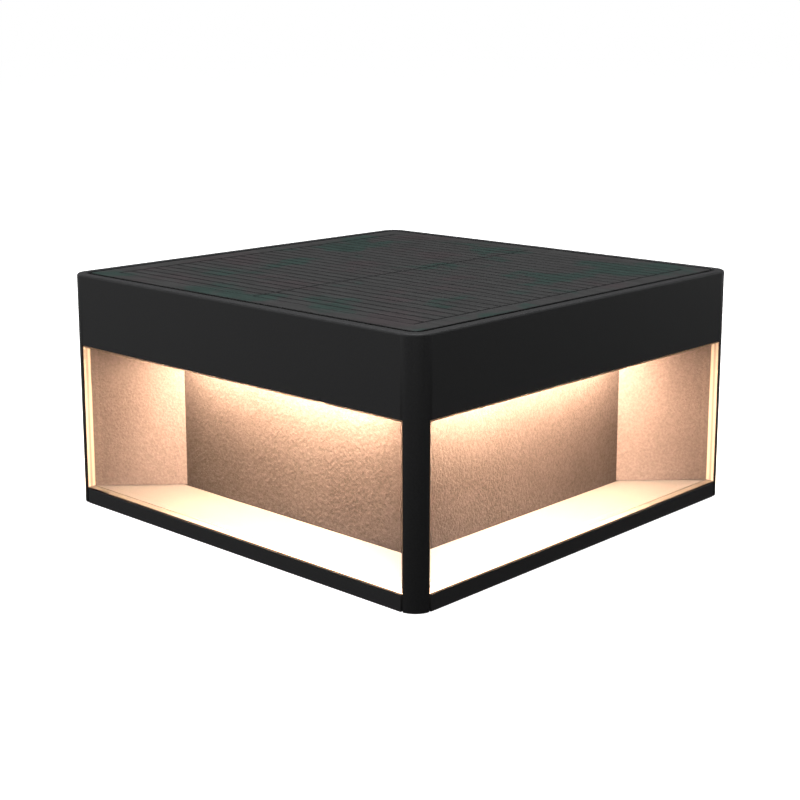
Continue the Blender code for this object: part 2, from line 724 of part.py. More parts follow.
def strip_lead(turn, end):
    """A lead's route from a strip's end (1 is the far end, -1 the near one) up through the carrier."""
    first = STRIP_LENGTH / 2 + 2.6 * MM
    low = CARRIER_BOTTOM - 1.3 * MM
    route = (
        (end * first, -STRIP_OFFSET, low),
        (end * (CABLE_HOLE_PLACE - 0.8 * MM), -STRIP_OFFSET, low + 0.2 * MM),
        (end * CABLE_HOLE_PLACE, -STRIP_OFFSET, CARRIER_TOP - 0.6 * MM),
        (end * (CABLE_HOLE_PLACE + 0.4 * MM), -STRIP_OFFSET, CARRIER_TOP + 2.5 * MM),
    )
    return [turned_point(point, turn) for point in route]


def cables():
    """The cables inside the lamp. Each starts and ends just clear of what it is soldered or plugged to."""
    board_top = BOARD_BOTTOM + BOARD_SIZE[2]
    socket_top = board_top + 6 * MM + GAP + CABLE_RADIUS
    for turn in range(len(SIDES) - 1):
        corner = CABLE_HOLE_PLACE + 6 * MM
        crown = turned_point((corner, -corner, CARRIER_TOP + 4.5 * MM), turn)
        route = strip_lead(turn, 1) + [crown] + strip_lead(turn + 1, -1)[::-1]
        tube(f"lamp_jumper_{turn + 1}", smooth_route(route), LAMP_CABLE_RADIUS, 1, grey_sleeve())
    above = CARRIER_TOP + 5 * MM
    feed_route = strip_lead(0, -1) + [
        (-48 * MM, -68 * MM, above),
        (-24 * MM, -34 * MM, above),
        (-6 * MM, -14 * MM, CARRIER_TOP),
        (6 * MM, -12 * MM, CARRIER_BOTTOM - 12 * MM),
        (28 * MM, TRAY_Y, socket_top + 14 * MM),
        (32 * MM, TRAY_Y, socket_top),
    ]
    tube("lamp_cable", smooth_route(feed_route), LAMP_CABLE_RADIUS, 1, grey_sleeve())
    box_bottom = PANEL_BOTTOM - GAP - JUNCTION_BOX[2]
    panel_route = (
        (-8 * MM, 0.0, box_bottom - GAP),
        (-8 * MM, 0.0, box_bottom - 8 * MM),
        (-14 * MM, 2 * MM, CARRIER_BOTTOM - 8 * MM),
        (-30 * MM, 4 * MM, socket_top + 14 * MM),
        (-33 * MM, 14 * MM + TRAY_Y, socket_top),
    )
    tube("panel_cable", smooth_route(panel_route), CABLE_RADIUS, 1, grey_sleeve())
    tray_end = -(CELL_LENGTH / 2 + CELL_CONTACT_HEIGHT + TRAY_WALL + 2 * GAP)
    battery_route = (
        (tray_end - GAP - CABLE_RADIUS, TRAY_Y - 8 * MM, BASE_THICKNESS + 6 * MM),
        (tray_end - 4 * MM, TRAY_Y - 8 * MM, BASE_THICKNESS + 16 * MM),
        (tray_end - 16 * MM, TRAY_Y - 10 * MM, board_top),
        (tray_end - 14 * MM, TRAY_Y - 13 * MM, socket_top + 8 * MM),
        (-34 * MM, TRAY_Y - 14 * MM, socket_top + 8 * MM),
        (-33 * MM, TRAY_Y - 14 * MM, socket_top),
    )
    tube("battery_cable", smooth_route(battery_route), CABLE_RADIUS, 1, grey_sleeve())
    switch_route = (
        (SWITCH_PLACE[0], SWITCH_PLACE[1], SWITCH_TOP + GAP),
        (SWITCH_PLACE[0], SWITCH_PLACE[1], SWITCH_TOP + 10 * MM),
        (0.0, 30 * MM, socket_top + 12 * MM),
        (0.0, 14 * MM, socket_top + 8 * MM),
        (0.0, 20 * MM + TRAY_Y, socket_top),
    )
    tube("switch_cable", smooth_route(switch_route), CABLE_RADIUS, 1, grey_sleeve())


clear_scene()
top_housing()
solar_panel()
lamp_carrier()
light_strips()
reflector()
reflector_floor_and_seals()
windows()
base_plate()
clamp_screws()
battery()
controller_board()
push_switch()
cables()
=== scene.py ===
import json
import math

import bmesh
import bpy
from mathutils import Matrix, Vector

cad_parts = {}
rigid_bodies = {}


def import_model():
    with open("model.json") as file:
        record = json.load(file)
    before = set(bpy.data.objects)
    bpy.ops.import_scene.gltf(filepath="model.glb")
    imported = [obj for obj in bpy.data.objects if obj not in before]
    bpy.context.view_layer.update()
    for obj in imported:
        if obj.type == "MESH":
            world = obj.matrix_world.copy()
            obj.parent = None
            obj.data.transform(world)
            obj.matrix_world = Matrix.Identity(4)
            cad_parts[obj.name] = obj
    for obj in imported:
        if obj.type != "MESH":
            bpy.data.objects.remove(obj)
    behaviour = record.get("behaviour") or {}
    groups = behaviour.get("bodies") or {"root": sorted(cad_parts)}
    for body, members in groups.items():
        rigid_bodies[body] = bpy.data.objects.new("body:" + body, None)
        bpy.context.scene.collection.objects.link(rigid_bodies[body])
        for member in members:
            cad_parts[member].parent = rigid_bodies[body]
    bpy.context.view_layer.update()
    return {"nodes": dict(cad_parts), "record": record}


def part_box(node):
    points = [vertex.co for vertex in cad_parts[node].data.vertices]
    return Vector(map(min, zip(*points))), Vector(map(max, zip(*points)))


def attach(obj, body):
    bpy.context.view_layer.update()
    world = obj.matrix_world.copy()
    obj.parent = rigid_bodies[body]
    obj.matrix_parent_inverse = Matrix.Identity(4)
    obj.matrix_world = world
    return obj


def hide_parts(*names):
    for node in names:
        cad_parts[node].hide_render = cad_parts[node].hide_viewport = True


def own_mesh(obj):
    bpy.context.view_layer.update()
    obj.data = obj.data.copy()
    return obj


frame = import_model()

MM = 0.001
QUARTER = math.radians(90)
CLEARANCE = 0.3 * MM
SIDES = ("front", "right", "back", "left")
CORNERS = (("front_right", 1, -1), ("back_right", 1, 1), ("back_left", -1, 1), ("front_left", -1, -1))

# Sizes taken from the frame
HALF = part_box("top_housing")[1].x
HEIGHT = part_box("top_housing")[1].z
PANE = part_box("window_pane_front")
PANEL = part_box("solar_panel")
CAVITY_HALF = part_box("floor_plate")[1].x + CLEARANCE
WINDOW_HALF = PANE[1].x + CLEARANCE
SKIRT_BOTTOM = PANE[1].z + CLEARANCE
PANE_MIDDLE = (CAVITY_HALF - PANE[0].y) / 2

# Sizes that the nodes' boxes don't give
CORNER_RADIUS = 7.8 * MM
TOP_EDGE_RADIUS = 0.9 * MM
RECESS_HALF = PANEL[1].x + 1.4 * MM
RECESS_RADIUS = 4.6 * MM
DECK_TOP = PANEL[0].z - 1.2 * MM
DECK_BOTTOM = DECK_TOP - 2.6 * MM
COLUMN_HALF = 67.6 * MM

# How far cutters reach past what they cut, and the area from which a face is shaded flat
OVERSHOOT = 5 * MM
LARGE_FACE = 400 * MM * MM

# Camera
CAMERA_PLACE = (0.43731, -0.46848, 0.20050)
CAMERA_TURN = math.radians(43.131)
CAMERA_DOWN = math.radians(10.808)
CAMERA_LENS = 68.32
FRAME_SHIFT = -0.0986

# Lights on the outer shell: name, side in metres, watts, place
SHELL_LIGHTS = (
    ("overhead", 0.7, 22.0, (0.0, 0.0, 1.3)),
    ("front_left_fill", 0.8, 8.0, (-0.9, -1.1, 0.25)),
    ("right_fill", 0.8, 1.9, (1.3, 0.5, 0.25)),
    ("near_corner_fill", 0.6, 3.8, (0.9, -1.0, 0.2)),
    ("back_fill", 0.5, 3.6, (0.4, 1.4, 0.15)),
    ("left_fill", 0.5, 3.6, (-1.4, 0.2, 0.15)),
)

# The light strips' colour, their glow where Nodes.along_strip() is nought, and its rise per metre
LIGHT_COLOUR = (1.0, 0.61, 0.37)
STRIP_GLOW = 122.0
STRIP_GLOW_RISE = 600.0


# ---------------------------------------------------------------- camera, floor and studio light


def make_camera():
    """Looks at the front_right corner from a little above, with the frame shifted down a little."""
    data = bpy.data.cameras.new("camera")
    data.sensor_width = 36.0
    data.lens = CAMERA_LENS
    data.shift_y = FRAME_SHIFT
    data.clip_end = 50.0
    camera = bpy.data.objects.new("camera", data)
    camera.location = CAMERA_PLACE
    camera.rotation_euler = (QUARTER - CAMERA_DOWN, 0.0, CAMERA_TURN)
    bpy.context.scene.collection.objects.link(camera)
    bpy.context.scene.camera = camera


def area_light(name, size, power, place, target, receivers):
    """A soft square light for the receivers, which the camera doesn't see."""
    data = bpy.data.lights.new(name, "AREA")
    data.shape = "SQUARE"
    data.size = size
    data.energy = power
    light = bpy.data.objects.new(name, data)
    light.location = place
    light.rotation_euler = (Vector(target) - Vector(place)).to_track_quat("-Z", "Y").to_euler()
    bpy.context.scene.collection.objects.link(light)
    light.visible_camera = False
    light.light_linking.receiver_collection = receivers


def make_studio(niche):
    """A white ground and backdrop that don't spill into the lit niches, and soft lights for the rest."""
    scene = bpy.context.scene
    scene.view_settings.view_transform = "Standard"
    scene.view_settings.look = "None"
    world = bpy.data.worlds.new("studio")
    scene.world = world
    world.use_nodes = True
    world.node_tree.nodes["Background"].inputs["Color"].default_value = (1.0, 1.0, 1.0, 1.0)
    world.cycles_visibility.diffuse = False
    world.cycles_visibility.glossy = False
    world.cycles_visibility.transmission = False

    shape = bmesh.new()
    bmesh.ops.create_grid(shape, x_segments=1, y_segments=1, size=8.0)
    floor = new_object("studio_floor", shape, floor_finish())
    floor.location.z = -0.2 * MM
    floor.visible_diffuse = False
    floor.visible_glossy = False

    shell = bpy.data.collections.new("outer_shell")
    for piece in scene.collection.objects:
        if piece.type == "MESH" and piece not in niche:
            shell.objects.link(piece)
    floors = bpy.data.collections.new("niche_floors")
    floors.objects.link(frame["nodes"]["floor_plate"])
    middle = (0.0, 0.0, 0.06)
    for name, size, power, place in SHELL_LIGHTS:
        area_light(name, size, power, place, middle, shell)
    area_light("near_floor_fill", 0.05, 1.2, (0.125, -0.125, 0.07), (0.03, -0.03, 0.0), floors)


# ---------------------------------------------------------------- materials


class Nodes:
    """A material's node tree, with short calls for the nodes that these finishes use."""

    def __init__(self, name, **inputs):
        self.material = bpy.data.materials.new(name)
        self.material.use_nodes = True
        self.tree = self.material.node_tree
        self.shader = self.tree.nodes["Principled BSDF"]
        for label, value in inputs.items():
            self.set(self.shader, label.replace("_", " "), value)
        self.place = self.tree.nodes.new("ShaderNodeTexCoord").outputs["Object"]

    @staticmethod
    def set(node, label, value):
        if isinstance(value, tuple):
            value = (*value, 1.0)
        node.inputs[label].default_value = value

    def link(self, source, node, label):
        self.tree.links.new(source, node.inputs[label])
        return node

    def noise(self, scale, detail=2.0, roughness=0.5, stretch=None):
        """Noise whose grain is about 1 / scale metres, optionally stretched along an axis."""
        node = self.tree.nodes.new("ShaderNodeTexNoise")
        self.set(node, "Scale", scale)
        self.set(node, "Detail", detail)
        self.set(node, "Roughness", roughness)
        place = self.place
        if stretch:
            mapping = self.tree.nodes.new("ShaderNodeMapping")
            mapping.inputs["Scale"].default_value = stretch
            self.link(place, mapping, "Vector")
            place = mapping.outputs["Vector"]
        self.link(place, node, "Vector")
        return node.outputs["Fac"]

    def ramp(self, factor, *stops):
        node = self.tree.nodes.new("ShaderNodeValToRGB")
        ramp = node.color_ramp
        while len(ramp.elements) < len(stops):
            ramp.elements.new(0.5)
        for element, (position, colour) in zip(ramp.elements, stops):
            element.position = position
            element.color = (*colour, 1.0) if isinstance(colour, tuple) else (colour, colour, colour, 1.0)
        self.link(factor, node, "Fac")
        return node.outputs["Color"]

    def math(self, operation, first, second=None):
        node = self.tree.nodes.new("ShaderNodeMath")
        node.operation = operation
        for i, value in enumerate((first, second)):
            if value is None:
                continue
            if isinstance(value, (int, float)):
                node.inputs[i].default_value = value
            else:
                self.tree.links.new(value, node.inputs[i])
        return node.outputs["Value"]

    def axes(self):
        """The place's X and Y."""
        node = self.tree.nodes.new("ShaderNodeSeparateXYZ")
        self.link(self.place, node, "Vector")
        return node.outputs["X"], node.outputs["Y"]

    def along_strip(self):
        """|x - y|, which grows along each light strip from its end at front_left or back_right."""
        return self.math("ABSOLUTE", self.math("SUBTRACT", *self.axes()))

    def mix(self, factor, first, second, blend="MIX"):
        node = self.tree.nodes.new("ShaderNodeMix")
        node.data_type = "RGBA"
        node.blend_type = blend
        for index, value in ((0, factor), (6, first), (7, second)):
            if hasattr(value, "is_output"):
                self.tree.links.new(value, node.inputs[index])
            elif isinstance(value, tuple):
                node.inputs[index].default_value = (*value, 1.0)
            else:
                node.inputs[index].default_value = value
        return node.outputs[2]

    def bump(self, height, distance, strength=1.0, after=None):
        node = self.tree.nodes.new("ShaderNodeBump")
        self.set(node, "Strength", strength)
        self.set(node, "Distance", distance)
        self.link(height, node, "Height")
        if after:
            self.link(after, node, "Normal")
        return node.outputs["Normal"]

    def colour(self, source):
        self.link(source, self.shader, "Base Color")

    def rough(self, source):
        self.link(source, self.shader, "Roughness")

    def normal(self, source):
        self.link(source, self.shader, "Normal")


def floor_finish():
    """The studio floor: white, and bright enough to show no shadow."""
    made = Nodes("studio_floor", Roughness=0.9)
    made.set(made.shader, "Specular IOR Level", 0.0)
    made.colour(made.ramp(made.noise(3.0), (0.3, (0.80, 0.80, 0.80)), (0.7, (0.82, 0.82, 0.82))))
    made.set(made.shader, "Emission Color", (1.0, 1.0, 1.0))
    made.set(made.shader, "Emission Strength", 1.0)
    return made.material


def powder_coat():
    made = Nodes("charcoal_powder_coat")
    made.set(made.shader, "Specular IOR Level", 0.26)
    cloud = made.noise(40.0, 3.0)
    grain = made.noise(1500.0, 3.0, 0.6)
    peel = made.noise(500.0, 2.0)
    speck = made.ramp(grain, (0.30, (0.021, 0.021, 0.022)), (0.75, (0.033, 0.033, 0.034)))
    made.colour(made.mix(made.math("MULTIPLY", cloud, 0.25), speck, (0.034, 0.034, 0.035)))
    made.rough(made.ramp(grain, (0.2, 0.56), (0.8, 0.72)))
    made.normal(made.bump(grain, 0.04 * MM, 0.7, made.bump(peel, 0.05 * MM, 0.5)))
    return made.material


def panel_sheet():
    """The panel's dark sheet, which shows between the cells and at the edge."""
    made = Nodes("panel_front_sheet")
    made.set(made.shader, "Specular IOR Level", 0.2)
    weave = made.noise(900.0, 2.0)
    made.colour(made.ramp(weave, (0.3, (0.006, 0.006, 0.0065)), (0.7, (0.010, 0.010, 0.0105))))
    made.rough(made.ramp(weave, (0.3, 0.42), (0.7, 0.55)))
    made.normal(made.bump(weave, 0.02 * MM, 0.5))
    return made.material


def cell_face():
    """Dark cells with a faint green and violet cast that drifts across the panel."""
    made = Nodes("solar_cell")
    made.set(made.shader, "Specular IOR Level", 0.2)
    grain = made.noise(1200.0, 3.0, 0.6)
    streak = made.noise(420.0, 4.0, 0.7, stretch=(0.12, 1.0, 1.0))
    cast = made.noise(22.0, 4.0, 0.6)
    grey = made.ramp(grain, (0.25, (0.037, 0.037, 0.037)), (0.8, (0.054, 0.054, 0.054)))
    brushed = made.mix(1.0, grey, made.ramp(streak, (0.35, 0.72), (0.6, 1.06)), "MULTIPLY")
    tint = made.ramp(
        cast,
        (0.40, (0.66, 1.08, 0.96)),
        (0.46, (1.0, 1.0, 1.0)),
        (0.55, (1.0, 1.0, 1.0)),
        (0.62, (1.10, 0.94, 0.98)),
    )
    made.colour(made.mix(1.0, brushed, tint, "MULTIPLY"))
    made.rough(made.ramp(grain, (0.2, 0.42), (0.8, 0.58)))
    made.normal(made.bump(grain, 0.02 * MM, 0.5))
    return made.material


def sand_paint(name, dark, light):
    """The reflector's sand-textured coat, with grains about a millimetre across."""
    made = Nodes(name)
    made.set(made.shader, "Specular IOR Level", 0.15)
    grain = made.noise(1000.0, 4.0, 0.6)
    lump = made.noise(450.0, 2.0, 0.5)
    cloud = made.noise(45.0, 2.0)
    base = made.ramp(grain, (0.30, dark), (0.70, light))
    shade = made.ramp(cloud, (0.35, (0.93, 0.92, 0.92)), (0.65, (1.0, 1.0, 1.0)))
    made.colour(made.mix(1.0, base, shade, "MULTIPLY"))
    made.rough(made.ramp(grain, (0.2, 0.62), (0.8, 0.80)))
    made.normal(made.bump(grain, 0.30 * MM, 0.9, made.bump(lump, 0.24 * MM, 0.5)))
    return made.material


def white_paint():
    made = Nodes("white_reflector_paint")
    fine = made.noise(700.0, 2.0)
    made.colour(made.ramp(fine, (0.3, (0.175, 0.173, 0.170)), (0.7, (0.195, 0.193, 0.190))))
    made.rough(made.ramp(fine, (0.3, 0.38), (0.7, 0.48)))
    made.normal(made.bump(fine, 0.02 * MM, 0.4))
    return made.material


def clear_pane():
    """Clear acrylic as a thin film: a small share mirrors, and the rest passes straight through."""
    made = Nodes("clear_acrylic", Metallic=1.0)
    made.set(made.shader, "Base Color", (0.96, 0.98, 0.98))
    smear = made.noise(30.0, 3.0)
    made.link(made.ramp(smear, (0.3, 0.025), (0.7, 0.045)), made.shader, "Alpha")
    made.rough(made.ramp(smear, (0.3, 0.04), (0.7, 0.09)))
    return made.material


def frosted_edge():
    """The pane's sawn edge, with a darker line along its middle and a faint painted warm glow in place of
    the light that the pane carries to its edge.
    """
    made = Nodes("pane_edge")
    saw = made.noise(260.0, 3.0, 0.6, stretch=(1.0, 1.0, 0.06))
    depth = made.math("MAXIMUM", *(made.math("ABSOLUTE", axis) for axis in made.axes()))
    off_line = made.math("ABSOLUTE", made.math("SUBTRACT", depth, PANE_MIDDLE))
    line = made.ramp(made.math("DIVIDE", off_line, 1.5 * MM), (0.15, 0.55), (0.55, 1.0))
    face = made.ramp(saw, (0.3, (0.52, 0.50, 0.46)), (0.7, (0.60, 0.58, 0.54)))
    made.colour(made.mix(1.0, face, line, "MULTIPLY"))
    made.rough(made.ramp(saw, (0.3, 0.35), (0.7, 0.6)))
    made.normal(made.bump(saw, 0.03 * MM, 0.4))
    # Painted glow, no lamp: a faint warm emission along the edge, dimmer on its middle line.
    made.link(made.mix(1.0, line, LIGHT_COLOUR, "MULTIPLY"), made.shader, "Emission Color")
    made.set(made.shader, "Emission Strength", 0.2)
    return made.material


def pane_foot_painted_glow():
    """The pane's lower edge, in the floor's white paint, with a painted glow that rises towards the
    front_right and back_left corners, standing in for light from the white floor beside it.
    """
    made = Nodes("pane_foot_painted_glow", Roughness=0.5)
    saw = made.noise(260.0, 3.0, 0.6)
    made.colour(made.ramp(saw, (0.3, (0.175, 0.173, 0.170)), (0.7, (0.195, 0.193, 0.190))))
    # Painted glow, no lamp: emission that is nought near the line through front_left and back_right and
    # grows towards the other two corners.
    made.set(made.shader, "Emission Color", LIGHT_COLOUR)
    beyond = made.math("MAXIMUM", made.math("SUBTRACT", made.along_strip(), 0.05), 0.0)
    made.link(made.math("MULTIPLY", beyond, 40.0), made.shader, "Emission Strength")
    return made.material


def opal_glow():
    """The lit covers, which glow more with the distance from the ends at two of the corners."""
    made = Nodes("lit_opal_cover", Roughness=0.4)
    made.set(made.shader, "Base Color", (0.95, 0.92, 0.86))
    cloud = made.noise(60.0, 2.0)
    warm = made.ramp(cloud, (0.3, (1.0, 0.59, 0.355)), (0.7, (1.0, 0.63, 0.385)))
    made.link(warm, made.shader, "Emission Color")
    rise = made.math("MULTIPLY", made.along_strip(), STRIP_GLOW_RISE)
    made.link(made.math("ADD", rise, STRIP_GLOW), made.shader, "Emission Strength")
    return made.material


def rubber():
    made = Nodes("black_rubber")
    grain = made.noise(900.0, 2.0)
    made.colour(made.ramp(grain, (0.3, (0.012, 0.012, 0.012)), (0.7, (0.022, 0.022, 0.022))))
    made.rough(made.ramp(grain, (0.3, 0.7), (0.7, 0.9)))
    made.normal(made.bump(grain, 0.03 * MM, 0.5))
    return made.material


def zinc_steel():
    made = Nodes("zinc_plated_steel", Metallic=1.0)
    scratch = made.noise(700.0, 3.0, 0.6, stretch=(1.0, 1.0, 0.15))
    made.colour(made.ramp(scratch, (0.3, (0.52, 0.52, 0.50)), (0.7, (0.66, 0.65, 0.61))))
    made.rough(made.ramp(scratch, (0.3, 0.22), (0.7, 0.42)))
    return made.material


def black_plastic():
    made = Nodes("black_plastic")
    grain = made.noise(1000.0, 2.0)
    made.colour(made.ramp(grain, (0.3, (0.018, 0.018, 0.019)), (0.7, (0.03, 0.03, 0.031))))
    made.rough(made.ramp(grain, (0.3, 0.45), (0.7, 0.65)))
    made.normal(made.bump(grain, 0.02 * MM, 0.5))
    return made.material


def circuit_board():
    made = Nodes("circuit_board")
    weave = made.noise(600.0, 2.0)
    track = made.ramp(made.noise(160.0, 0.0, stretch=(1.0, 0.25, 1.0)), (0.48, 0.0), (0.52, 1.0))
    mask = made.mix(made.math("MULTIPLY", track, 0.6), (0.010, 0.085, 0.040), (0.020, 0.15, 0.070))
    made.colour(mask)
    made.rough(made.ramp(weave, (0.3, 0.28), (0.7, 0.4)))
    made.normal(made.bump(track, 0.04 * MM, 0.6))
    return made.material


def white_board():
    made = Nodes("white_light_board")
    fine = made.noise(500.0, 2.0)
    made.colour(made.ramp(fine, (0.3, (0.80, 0.80, 0.77)), (0.7, (0.87, 0.87, 0.84))))
    made.rough(made.ramp(fine, (0.3, 0.35), (0.7, 0.5)))
    return made.material


def battery_wrap():
    made = Nodes("battery_wrap")
    made.set(made.shader, "Coat Weight", 0.4)
    shrink = made.noise(120.0, 3.0)
    made.colour(made.ramp(shrink, (0.3, (0.030, 0.11, 0.34)), (0.7, (0.045, 0.15, 0.42))))
    made.rough(made.ramp(shrink, (0.3, 0.3), (0.7, 0.45)))
    made.normal(made.bump(shrink, 0.08 * MM, 0.4))
    return made.material


def cable_sleeve():
    made = Nodes("cable_sleeve")
    fine = made.noise(800.0, 2.0)
    made.colour(made.ramp(fine, (0.3, (0.04, 0.04, 0.045)), (0.7, (0.07, 0.07, 0.075))))
    made.rough(made.ramp(fine, (0.3, 0.4), (0.7, 0.6)))
    return made.material


FINISHES = {
    "powder_coat": powder_coat(),
    "solar_laminate": panel_sheet(),
    "sand_paint": sand_paint("sand_wall_paint", (0.068, 0.063, 0.065), (0.124, 0.115, 0.120)),
    "white_paint": white_paint(),
    "clear_pane": clear_pane(),
    "opal_cover": opal_glow(),
    "light_board": white_board(),
    "circuit_board": circuit_board(),
    "battery_wrap": battery_wrap(),
    "black_plastic": black_plastic(),
    "zinc_steel": zinc_steel(),
    "black_rubber": rubber(),
    "cable_sleeve": cable_sleeve(),
}


def finish_cad_nodes():
    """Every CAD node gets its slot's finish; those that a piece replaces are hidden later."""
    slots = {row["node"]: row["material_slot"] for row in frame["record"]["subparts"]}
    for name, node in frame["nodes"].items():
        node.data.materials.clear()
        node.data.materials.append(FINISHES[slots[name]])


# ---------------------------------------------------------------- mesh helpers


def new_object(name, shape, *finishes):
    mesh = bpy.data.meshes.new(name)
    shape.to_mesh(mesh)
    shape.free()
    for finish in finishes:
        mesh.materials.append(finish)
    made = bpy.data.objects.new(name, mesh)
    bpy.context.scene.collection.objects.link(made)
    return made


def corner_arc(sx, sy, half, radius, angles):
    centre = (sx * (half - radius), sy * (half - radius))
    start = {(1, -1): -QUARTER, (1, 1): 0.0, (-1, 1): QUARTER, (-1, -1): 2 * QUARTER}[sx, sy]
    return [
        (centre[0] + radius * math.cos(start + angle), centre[1] + radius * math.sin(start + angle))
        for angle in angles
    ]


def rounded_square(half, radius, steps=8, angles=None):
    """The outline of a square with round corners, anticlockwise."""
    if angles is None:
        angles = [QUARTER * step / steps for step in range(steps + 1)]
    points = []
    for _, sx, sy in CORNERS:
        points += corner_arc(sx, sy, half, radius, angles)
    return points


def square(half):
    return [(half, -half), (half, half), (-half, half), (-half, -half)]


def loft(rings):
    """A closed bmesh through rings of points (outline, height), capped at both ends."""
    shape = bmesh.new()
    made = [[shape.verts.new((x, y, height)) for x, y in outline] for outline, height in rings]
    shape.faces.new(reversed(made[0]))
    shape.faces.new(made[-1])
    for low, high in zip(made, made[1:]):
        for i in range(len(low)):
            j = (i + 1) % len(low)
            shape.faces.new((low[i], low[j], high[j], high[i]))
    return shape


def prism(name, outline, bottom, top, *finishes):
    return new_object(name, loft([(outline, bottom), (outline, top)]), *finishes)


def box(name, low, high, *finishes):
    outline = [(low[0], low[1]), (high[0], low[1]), (high[0], high[1]), (low[0], high[1])]
    return prism(name, outline, low[2], high[2], *finishes)


def cut(target, *cutters):
    """Cuts each cutter out of the target, and removes it."""
    for cutter in cutters:
        modifier = target.modifiers.new("cut", "BOOLEAN")
        modifier.operation = "DIFFERENCE"
        modifier.solver = "EXACT"
        modifier.object = cutter
        apply_modifiers(target)
        bpy.data.objects.remove(cutter)


def apply_modifiers(target):
    bpy.context.view_layer.update()
    graph = bpy.context.evaluated_depsgraph_get()
    mesh = bpy.data.meshes.new_from_object(target.evaluated_get(graph))
    target.modifiers.clear()
    target.data = mesh


def tidy(target, degrees=1.0):
    """Joins the flat faces that Booleans split."""
    shape = bmesh.new()
    shape.from_mesh(target.data)
    bmesh.ops.remove_doubles(shape, verts=shape.verts, dist=0.002 * MM)
    bmesh.ops.dissolve_limit(
        shape, angle_limit=math.radians(degrees), verts=shape.verts, edges=shape.edges, delimit={"MATERIAL"}
    )
    shape.to_mesh(target.data)
    shape.free()


def soften(target, width, segments=3, degrees=40, keep=None):
    """Rounds the sharp edges for which keep(middle of the edge) is true."""
    shape = bmesh.new()
    shape.from_mesh(target.data)
    chosen = [
        edge
        for edge in shape.edges
        if len(edge.link_faces) == 2
        and edge.calc_face_angle() > math.radians(degrees)
        and (keep is None or keep((edge.verts[0].co + edge.verts[1].co) / 2))
    ]
    bmesh.ops.bevel(
        shape, geom=chosen, offset=width, segments=segments, profile=0.5, affect="EDGES", clamp_overlap=True
    )
    shape.to_mesh(target.data)
    shape.free()


def smooth(target, degrees=35):
    """Shades round faces smooth, and keeps the large flat ones flat right up to their edges."""
    target.data.shade_smooth()
    target.data.set_sharp_from_angle(angle=math.radians(degrees))
    for face in target.data.polygons:
        face.use_smooth = face.area < LARGE_FACE


def finish_piece(piece, body, slot, *replaced):
    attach(piece, body)
    if replaced:
        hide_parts(*replaced)


# ---------------------------------------------------------------- the cap


def cap_casting():
    """Deck, skirt and four L-shaped legs in one casting, with every open edge broken."""
    first = math.asin((WINDOW_HALF - (HALF - CORNER_RADIUS)) / CORNER_RADIUS)
    inner = [first + (QUARTER - 2 * first) * step / 8 for step in range(9)]
    angles = [0.0, *inner, QUARTER]
    rings = [(rounded_square(HALF, CORNER_RADIUS, angles=angles), 0.0)]
    for step in range(6):
        turn = QUARTER * step / 5
        inset = TOP_EDGE_RADIUS * (1 - math.cos(turn))
        height = HEIGHT - TOP_EDGE_RADIUS * (1 - math.sin(turn))
        rings.append((rounded_square(HALF - inset, CORNER_RADIUS - inset, angles=angles), height))
    cap = new_object("cap_casting", loft(rings), FINISHES["powder_coat"])
    reach = HALF + OVERSHOOT
    low = -OVERSHOOT
    cut(
        cap,
        prism("cutter", square(CAVITY_HALF), low, DECK_BOTTOM),
        box("cutter", (-WINDOW_HALF, -reach, low), (WINDOW_HALF, reach, SKIRT_BOTTOM)),
        box("cutter", (-reach, -WINDOW_HALF, low), (reach, WINDOW_HALF, SKIRT_BOTTOM)),
        prism("cutter", rounded_square(RECESS_HALF, RECESS_RADIUS, 10), DECK_TOP, HEIGHT + OVERSHOOT),
    )
    tidy(cap)
    soften(cap, 0.2 * MM, 2, keep=lambda place: place.z > DECK_TOP + MM or place.z < DECK_BOTTOM - MM)
    smooth(cap)
    finish_piece(cap, "lamp", "powder_coat", "top_housing")


# ---------------------------------------------------------------- the solar panel


CELL_PITCH = 6.1 * MM
CELL_ROWS = 28
CELL_GAP = 1.2 * MM
CELL_FIELD_HALF = 84.0 * MM
CELL_SPLIT = 1.1 * MM
CELL_RISE = 0.06 * MM
PANEL_GAP = 2.0 * MM


def solar_panel():
    """A dark sheet with two columns of thin cell strips and a plain border, a little proud of it."""
    sheet_top = PANEL[1].z - CELL_RISE
    half = RECESS_HALF - PANEL_GAP
    edge = 0.2 * MM
    radius = RECESS_RADIUS - PANEL_GAP
    rings = [
        (rounded_square(half - inset, radius - inset, 10), height)
        for inset, height in (
            (0.0, PANEL[0].z),
            (0.0, sheet_top - edge),
            (0.3 * edge, sheet_top - 0.3 * edge),
            (edge, sheet_top),
        )
    ]
    sheet = new_object("panel_sheet", loft(rings), FINISHES["solar_laminate"])
    smooth(sheet)
    finish_piece(sheet, "lamp", "solar_laminate", "solar_panel")

    face = cell_face()
    bottom = sheet_top - 0.02 * MM
    field_y = CELL_ROWS * CELL_PITCH / 2
    shape = bmesh.new()
    for row in range(CELL_ROWS):
        y0 = row * CELL_PITCH - field_y + CELL_GAP / 2
        y1 = y0 + CELL_PITCH - CELL_GAP
        for x0, x1 in ((-CELL_FIELD_HALF, -CELL_SPLIT / 2), (CELL_SPLIT / 2, CELL_FIELD_HALF)):
            add_strip(shape, x0, x1, y0, y1, bottom, PANEL[1].z)
    cells = new_object("solar_cells", shape, face)
    finish_piece(cells, "lamp", "solar_laminate")

    inset = edge + CELL_RISE
    outline = rounded_square(half - inset, radius - inset, 10)
    border = prism("panel_border", outline, bottom, PANEL[1].z, face)
    field_x = CELL_FIELD_HALF + CELL_GAP
    cut(border, box("cutter", (-field_x, -field_y, 0.0), (field_x, field_y, 1.0)))
    tidy(border)
    finish_piece(border, "lamp", "solar_laminate")


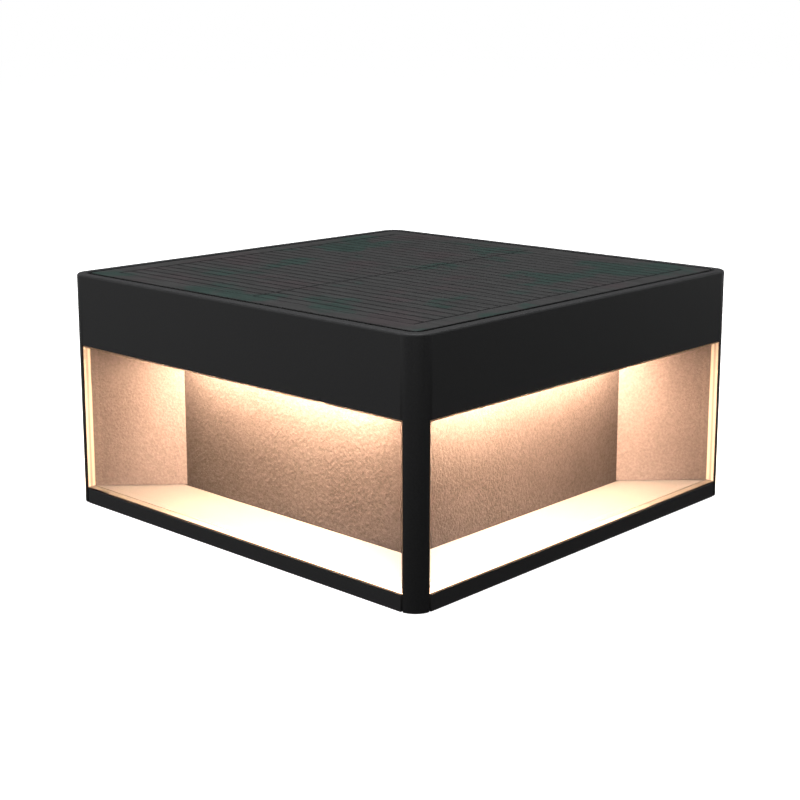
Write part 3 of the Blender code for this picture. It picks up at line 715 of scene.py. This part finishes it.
def add_strip(shape, x0, x1, y0, y1, bottom, top):
    """One flat strip with bevelled edges."""
    rings = []
    for height, inset in ((bottom, 0.0), (top, top - bottom)):
        left, right, front, back = x0 + inset, x1 - inset, y0 + inset, y1 - inset
        outline = ((left, front), (right, front), (right, back), (left, back))
        rings.append([shape.verts.new((x, y, height)) for x, y in outline])
    shape.faces.new(reversed(rings[0]))
    shape.faces.new(rings[1])
    for i in range(4):
        j = (i + 1) % 4
        shape.faces.new((rings[0][i], rings[0][j], rings[1][j], rings[1][i]))


# ---------------------------------------------------------------- reflector and light strips


def reflector():
    """The sand-coated column, with its fins in a lighter copy of the same coat, about twice as light:
    painted light on the fins.
    """
    column = copy_of("reflector_column", "sand_reflector")
    tidy(column)
    # Painted light: the fins take a copy of the wall coat about twice as light, which stands in for the
    # stronger light they catch.
    column.data.materials.append(sand_paint("sand_fin_painted_light", (0.180, 0.166, 0.173), (0.270, 0.248, 0.258)))
    for face in column.data.polygons:
        place = face.center
        face.material_index = int(max(abs(place.x), abs(place.y)) > COLUMN_HALF + 0.5 * MM)
    finish_piece(column, "lamp", "sand_paint", "reflector_column")
    return column


def light_covers():
    """Opal covers with rounded edges."""
    covers = []
    for side in SIDES:
        cover = copy_of(f"light_cover_{side}", f"opal_cover_{side}")
        tidy(cover)
        soften(cover, 0.2 * MM, 2)
        smooth(cover)
        finish_piece(cover, "lamp", "opal_cover", f"light_cover_{side}")
        covers.append(cover)
    return covers


# ---------------------------------------------------------------- panes


def window_panes():
    """Clear panes with bevelled, frosted edges, flush with the legs' inner faces."""
    clear, edge, foot = FINISHES["clear_pane"], frosted_edge(), pane_foot_painted_glow()
    low, high = PANE[0], Vector((PANE[1].x, -CAVITY_HALF, PANE[1].z))
    panes = []
    for turn, side in enumerate(SIDES):
        pane = box(f"pane_{side}", low, high, clear, edge, foot)
        soften(pane, 0.25 * MM, 2)
        for face in pane.data.polygons:
            face.material_index = 0 if abs(face.normal.y) > 0.99 else 2 if face.normal.z < -0.3 else 1
        pane.data.transform(Matrix.Rotation(QUARTER * turn, 4, "Z"))
        finish_piece(pane, "lamp", "clear_pane", f"window_pane_{side}")
        panes.append(pane)
    return panes


# ---------------------------------------------------------------- base


def base_casting():
    """The CAD's base with its outer edges broken."""
    base = copy_of("base_plate", "base_casting")
    tidy(base)
    outside = HALF - 4.5 * MM
    soften(base, 0.15 * MM, 2, 60, keep=lambda place: max(abs(place.x), abs(place.y)) > outside)
    smooth(base)
    finish_piece(base, "lamp", "powder_coat", "base_plate")


def return_spring():
    """The switch's spring, with a mesh of its own."""
    spring = copy_of("switch_spring", "return_spring")
    smooth(spring)
    finish_piece(spring, "lamp", "zinc_steel", "switch_spring")
    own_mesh(spring)


def copy_of(node, name):
    """A new object with the node's mesh, to be worked on."""
    shape = bmesh.new()
    shape.from_mesh(frame["nodes"][node].data)
    return new_object(name, shape, *frame["nodes"][node].data.materials)


# ---------------------------------------------------------------- build


make_camera()
finish_cad_nodes()
cap_casting()
solar_panel()
base_casting()
return_spring()
niche = [reflector(), *light_covers(), *window_panes(), frame["nodes"]["floor_plate"]]
make_studio(niche)
